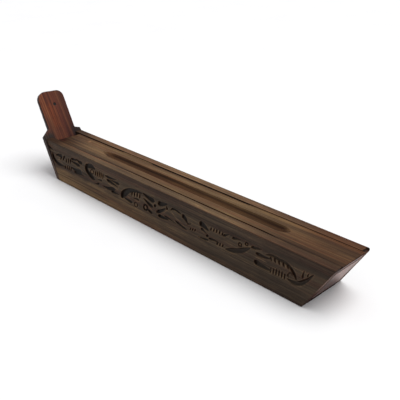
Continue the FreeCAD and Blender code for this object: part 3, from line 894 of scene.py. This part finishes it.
def board_wood(name, seed, lit_top_tint, end_reflection_tint, end_gloss):
    """Side boards: grey-brown faces kept dark as painted shade, tops lightened as painted light, a
    lighter rubbed foot, cuts painted near-black as dark stain and painted shade.
    """
    wood = Wood(name, SHADED_SIDE_PALETTE, seed)

    top = wood.facing(Z, 0.6, 0.9)
    # Painted light: the tops lightened against the darker upright faces, as the light falls on them from
    # above.
    wood.stain_and_light(top, lit_top_tint)
    darken_ends(wood, top, (0.55, 0.5, 0.46), (0.5, 0.46, 0.44))
    far_tail = wood.both(wood.zone(Y, 0, 5), wood.zone(X, 105, 135))
    wood.stain_and_light(wood.both(far_tail, top), (1.5, 1.25, 1.05))
    head_tip = wood.zone(X, -124, -138)
    wood.stain_and_light(wood.both(head_tip, top), (0.5, 0.46, 0.5))

    ragged = wood.both(wood.field(0.03, 0.1), 10 * MM)
    foot = wood.between(wood.maths("ADD", wood.axis(Z), ragged), 19 * MM, 14 * MM)
    wood.stain_and_light(foot, (1.18, 1.2, 1.2))
    wood.stain_and_light(wood.both(foot, wood.zone(X, 70, -110)), (2.9, 2.6, 2.0))
    brow = wood.zone(Z, 26, 29)
    wood.stain_and_light(brow, (1.3, 1.27, 1.25))
    wood.stain_and_light(wood.both(brow, wood.zone(X, 60, 120)), (0.75, 0.7, 0.72))

    flecks = wood.rise(wood.field(0.10, 0.75, detail=3.0, roughness=0.6), 0.55, 0.72)
    wood.stain_and_light(wood.both(flecks, 0.6), (1.9, 1.75, 1.5))
    # Ridges and cut rims lightened: rubbed stain and painted highlight.
    wood.stain_and_light(wood.both(wood.attribute("rubbed_highlight"), 0.75), (2.4, 2.2, 1.9))
    # The cuts painted near-black by depth, a little less towards the tail: dark stain and painted shade
    # in the recesses.
    cut = wood.rise(wood.attribute("carve"), 0.04, 0.4)
    cut_darkness_left = wood.maths("ADD", wood.both(wood.zone(X, 100, 40), 0.25), 0.65)
    wood.paint(wood.both(cut, cut_darkness_left), NEAR_BLACK)

    top_edge = HEIGHT / MM
    # Painted reflection: the undercut end faces lightened, as the pale floor shows in them at a grazing
    # angle, besides their real gloss.
    end = wood.both(wood.sloped_end(), wood.zone(Z, top_edge - 1, top_edge - 5))
    wood.stain_and_light(end, end_reflection_tint)
    # Painted shade: the rounded tail corners, and the tail-facing faces low down, darkened.
    tailwards = wood.facing(X, 0.1, 0.4)
    shaded_rounding = wood.both(tailwards, wood.outside(end))
    wood.stain_and_light(shaded_rounding, (0.5, 0.38, 0.33))
    shaded_low_end = wood.both(tailwards, wood.zone(Z, 18, 10))
    wood.stain_and_light(shaded_low_end, (0.4, 0.34, 0.33))

    gloss = wood.maths("ADD", wood.both(end, end_gloss - FACE_GLOSS), FACE_GLOSS)
    gloss = wood.both(gloss, wood.outside(wood.maths("MAXIMUM", shaded_rounding, shaded_low_end), 0.85))
    return wood.finish(0.48, gloss)


def lid_wood_material():
    """Lid: streaky brown, darker towards its ends; its trough darkened as soot and painted shade, painted
    shade along its seams, and its end face lightened as a painted reflection under a band of painted
    shade.
    """
    wood = Wood("lid_wood", TOP_PALETTE, 5)
    top = LID_HIGH.z / MM

    darken_ends(wood, 1.0, (0.62, 0.52, 0.46), (0.6, 0.5, 0.46))
    worn_far_head = wood.both(wood.zone(Y, 4, 8), wood.zone(X, -20, -90))
    wood.stain_and_light(worn_far_head, (1.45, 1.43, 1.32))
    dull_far_tail = wood.both(wood.both(wood.zone(Y, 2, 6), wood.zone(Y, 9.5, 7.5)), wood.zone(X, 45, 80))
    wood.stain_and_light(dull_far_tail, (0.54, 0.52, 0.53))
    off_middle = wood.maths("ABSOLUTE", wood.axis(Y))
    smoked = wood.both(wood.between(off_middle, 9 * MM, 7 * MM), wood.zone(X, -112, -135))
    wood.stain_and_light(smoked, (0.72, 0.70, 0.74))
    reddish_corner = wood.both(wood.zone(Y, 5, 9), wood.zone(X, 95, 130))
    wood.stain_and_light(reddish_corner, (0.88, 0.76, 0.76))

    # The trough darkened with its depth: soot, and painted shade in the hollow.
    hollow = wood.rise(wood.attribute("hollow"), 0.1, 0.6)
    wood.stain_and_light(wood.both(hollow, 0.9), (0.355, 0.256, 0.208))
    # Painted shade on the trough's far slope, which faces away from the light.
    wood.stain_and_light(wood.both(hollow, wood.zone(Y, 2.2, 3.8)), (0.58, 0.51, 0.57))

    reddish_blot = wood.spot((-138, -9.5, top), 2, 7)
    wood.stain_and_light(reddish_blot, (0.5, 0.24, 0.22))
    pale_scuff = wood.spot((-117, 6.5, top), 0.7, 1.2)
    wood.stain_and_light(pale_scuff, (2.3, 2.4, 2.7))
    # Painted shade along the seams beside the side boards, broken into patches.
    patchy = wood.between(wood.field(0.03, 0.2), 0.25, 0.5)
    wood.stain_and_light(wood.both(wood.attribute("seam_shade"), patchy), (0.28, 0.2, 0.17))

    # Painted reflection: the undercut end face lightened, as the pale floor shows in it at a grazing
    # angle, besides its real gloss.
    end = wood.sloped_end()
    wood.stain_and_light(end, (2.3, 1.9, 2.8))
    # Painted shade: a dark band along the top rim of the end face, where the rounded arris turns from the
    # light.
    brink = wood.both(wood.facing(X, 0.08, 0.2), wood.zone(Z, top - 3.4, top - 1.4))
    brink = wood.both(brink, wood.between(wood.axis(X), TROUGH_TAIL, LID_HIGH.x - 10 * MM))
    wood.stain_and_light(brink, (0.24, 0.16, 0.13))

    gloss = wood.maths("ADD", wood.both(end, 0.33), 0.1)
    return wood.finish(0.38, wood.both(gloss, wood.outside(brink)))


def end_board_wood():
    """Tail board: reddish brown with a waxed face, lightened in part as a painted reflection of the pale
    floor, darker and duller below a slanting line as painted shade.
    """
    wood = Wood("end_wood", SHADED_SIDE_PALETTE, 9)
    # Reddish brown, lightened in part as a painted reflection of the pale floor seen at a grazing angle.
    wood.stain_and_light(1.0, (3.9, 2.2, 2.1))
    # Painted shade: darker and duller towards the low, near corner of the face.
    slant = wood.maths("ADD", wood.axis(Z), wood.both(wood.axis(Y), 0.7))
    shaded_low = wood.between(slant, 20 * MM, 11 * MM)
    wood.stain_and_light(shaded_low, (0.36, 0.33, 0.34))
    gloss = wood.maths("SUBTRACT", 0.45, wood.both(shaded_low, 0.38))
    return wood.finish(0.24, gloss)


def tab_wood_material():
    """End plate: reddish hardwood with an orange streak, its edges and shoulders darkened as painted
    shade, and a ring of painted shade round its stick hole.
    """
    wood = Wood("tab_wood", TAB_PALETTE, 3, 90 + HEAD_LEAN)
    box_top = HEIGHT / MM
    edge = wood.between(wood.maths("ABSOLUTE", wood.axis(Y, wood.normal)), 0.5, 0.9)

    wood.stain_and_light(wood.zone(Y, -2, 9), (0.56, 0.56, 0.68))
    orange_streak = wood.both(wood.both(wood.zone(Y, -7, -5), wood.zone(Y, 1.5, -1)),
                              wood.both(wood.zone(Z, 37, 43), wood.zone(Z, 61, 55)))
    wood.stain_and_light(orange_streak, (1.55, 1.42, 0.98))
    shaded = wood.both(wood.zone(Y, -4, -7), wood.zone(Z, 53, 44))
    wood.stain_and_light(shaded, (0.70, 0.77, 0.88))

    # Painted shade on the plate's edges and rounded top above the box.
    crown = wood.facing(Z, 0.68, 0.8)
    edge = wood.maths("MAXIMUM", edge, crown)
    wood.stain_and_light(wood.both(edge, wood.zone(Z, box_top, box_top + 6)), (0.2, 0.17, 0.2))
    wood.stain_and_light(1.0, (0.95, 0.86, 0.9))
    ragged = wood.both(wood.field(0.08, 0.2), 10 * MM)
    low = wood.between(wood.maths("ADD", wood.axis(Z), ragged), 46 * MM, 39 * MM)
    shoulders = wood.between(wood.maths("ABSOLUTE", wood.axis(Y)), 8 * MM, 12 * MM)
    inner_face = wood.facing(X, -0.4, 0.1)
    shoulders = wood.both(shoulders, wood.maths("MAXIMUM", inner_face, edge))
    # Painted shade on the shoulders' inner faces and edges, low on the plate.
    wood.stain_and_light(wood.both(low, shoulders), (0.30, 0.62, 1.0))
    flank = wood.both(edge, wood.zone(Z, box_top, box_top - 3))
    wood.stain_and_light(flank, (1.9, 2.0, 1.9))
    wood.stain_and_light(wood.both(flank, wood.zone(Z, 18, 12)), (1.8, 1.7, 1.5))

    centre, axis, radius = bore("stick_hole")
    offset = wood.vector("SUBTRACT", wood.place, centre)
    along = wood.vector("PROJECT", offset, axis)
    away = wood.vector("DISTANCE", offset, along)
    # Painted shade: a near-black ring round the stick hole, widening the hole's dark mouth.
    hole_shade_ring = wood.between(away, radius + 0.7 * MM, radius)
    wood.paint(wood.both(hole_shade_ring, 0.9), NEAR_BLACK)
    return wood.finish(0.33, gloss=0.15)


def nail_steel():
    """Dull drawn wire with a little tarnish."""
    steel = Nodes("nail_steel")
    tarnish = steel.noise(steel.place, (1.2, 1.2, 1.2), (3, 5, 7), detail=5.0, roughness=0.6)
    colour = steel.ramp(tarnish, [(0.35, (0.09, 0.07, 0.06)), (0.65, (0.36, 0.34, 0.32))])
    steel.put(colour, steel.shader.inputs["Base Color"])
    steel.put(1.0, steel.shader.inputs["Metallic"])
    steel.put(steel.maths("ADD", steel.both(tarnish, 0.4), 0.25), steel.shader.inputs["Roughness"])
    steel.bump(tarnish, strength=0.3, distance=0.05 * MM)
    return steel.material


def pale_floor():
    """Pale, faintly uneven studio floor."""
    floor = Nodes("pale_floor")
    speckle = floor.noise(floor.place, (0.01, 0.01, 0.01), (0, 0, 0), detail=2.0)
    colour = floor.ramp(speckle, [(0.3, (0.90, 0.90, 0.90)), (0.7, (0.93, 0.93, 0.93))])
    floor.put(colour, floor.shader.inputs["Base Color"])
    floor.put(0.6, floor.shader.inputs["Roughness"])
    return floor.material


# ---------------------------------------------------------------- stage

CAMERA_AZIMUTH, CAMERA_ELEVATION = 46.87, 25.28
CAMERA_DISTANCE = 458.7 * MM
CAMERA_TARGET = Vector((-0.5 * MM, 0, 20.3 * MM))
CAMERA_LENS = 54.6
CAMERA_SHIFT = (0.0625, -0.0068)
CLIP_START = 0.01
SUN_AZIMUTH, SUN_ELEVATION = 50, 70  # azimuth 0 is +X, turning towards +Y
SUN_STRENGTH, SUN_SPREAD = 2.18, 50
SKY_COLOUR = (0.98, 0.98, 1.0, 1.0)
SKY_STRENGTH = 0.52
FLOOR_SIZE = 12


def look_along(thing, backwards):
    """Turn a camera or a lamp so that it looks away from a direction."""
    thing.rotation_mode = "QUATERNION"
    thing.rotation_quaternion = (-backwards).to_track_quat("-Z", "Y")
    bpy.context.scene.collection.objects.link(thing)


def make_camera():
    azimuth, elevation = math.radians(CAMERA_AZIMUTH), math.radians(CAMERA_ELEVATION)
    back = Vector((math.sin(azimuth) * math.cos(elevation), -math.cos(azimuth) * math.cos(elevation),
                   math.sin(elevation)))
    data = bpy.data.cameras.new("camera")
    data.lens = CAMERA_LENS
    data.shift_x, data.shift_y = CAMERA_SHIFT
    data.clip_start = CLIP_START
    camera = bpy.data.objects.new("camera", data)
    camera.location = CAMERA_TARGET + back * CAMERA_DISTANCE
    look_along(camera, back)
    bpy.context.scene.camera = camera


def make_sun():
    """One wide soft light from the side."""
    data = bpy.data.lights.new("sun", "SUN")
    data.energy = SUN_STRENGTH
    data.angle = math.radians(SUN_SPREAD)
    turn, rise = math.radians(SUN_AZIMUTH), math.radians(SUN_ELEVATION)
    towards = Vector((math.cos(turn) * math.cos(rise), math.sin(turn) * math.cos(rise), math.sin(rise)))
    look_along(bpy.data.objects.new("sun", data), towards)


def make_stage():
    scene = bpy.context.scene
    scene.view_settings.view_transform = "Standard"
    world = bpy.data.worlds.new("studio")
    world.use_nodes = True
    background = world.node_tree.nodes["Background"]
    background.inputs["Color"].default_value = SKY_COLOUR
    background.inputs["Strength"].default_value = SKY_STRENGTH
    scene.world = world
    bpy.ops.mesh.primitive_plane_add(size=FLOOR_SIZE, location=(0, 0, 0))
    floor = bpy.context.object
    floor.name = "floor"
    floor.data.materials.append(pale_floor())
    make_sun()
    make_camera()


# ---------------------------------------------------------------- build

near_wood = board_wood("near_wall_wood", 1, (1.95, 1.85, 1.5), (1.9, 1.45, 1.45), 0.2)
far_wood = board_wood("far_wall_wood", 2, (2.7, 2.45, 1.95), (3.4, 2.7, 2.6), 0.45)
floor_wood = board_wood("floor_wood", 4, (1.2, 1.1, 1.0), (1.3, 0.9, 0.95), 0.1)
steel = nail_steel()

side_wall("near_side_wall", -1, near_wood, 11, NEAR_CORNER)
side_wall("far_side_wall", 1, far_wood, 17, FAR_CORNER)
trough_lid(lid_wood_material())
worn_stick_holder(tab_wood_material())
dress_node("floor_board", floor_wood, BOARD_EASE)
dress_node("tail_board", end_board_wood(), BOARD_EASE)
for pins in ("holder_pins", "tail_pins"):
    dress_node(pins, steel, PIN_EASE)

make_stage()
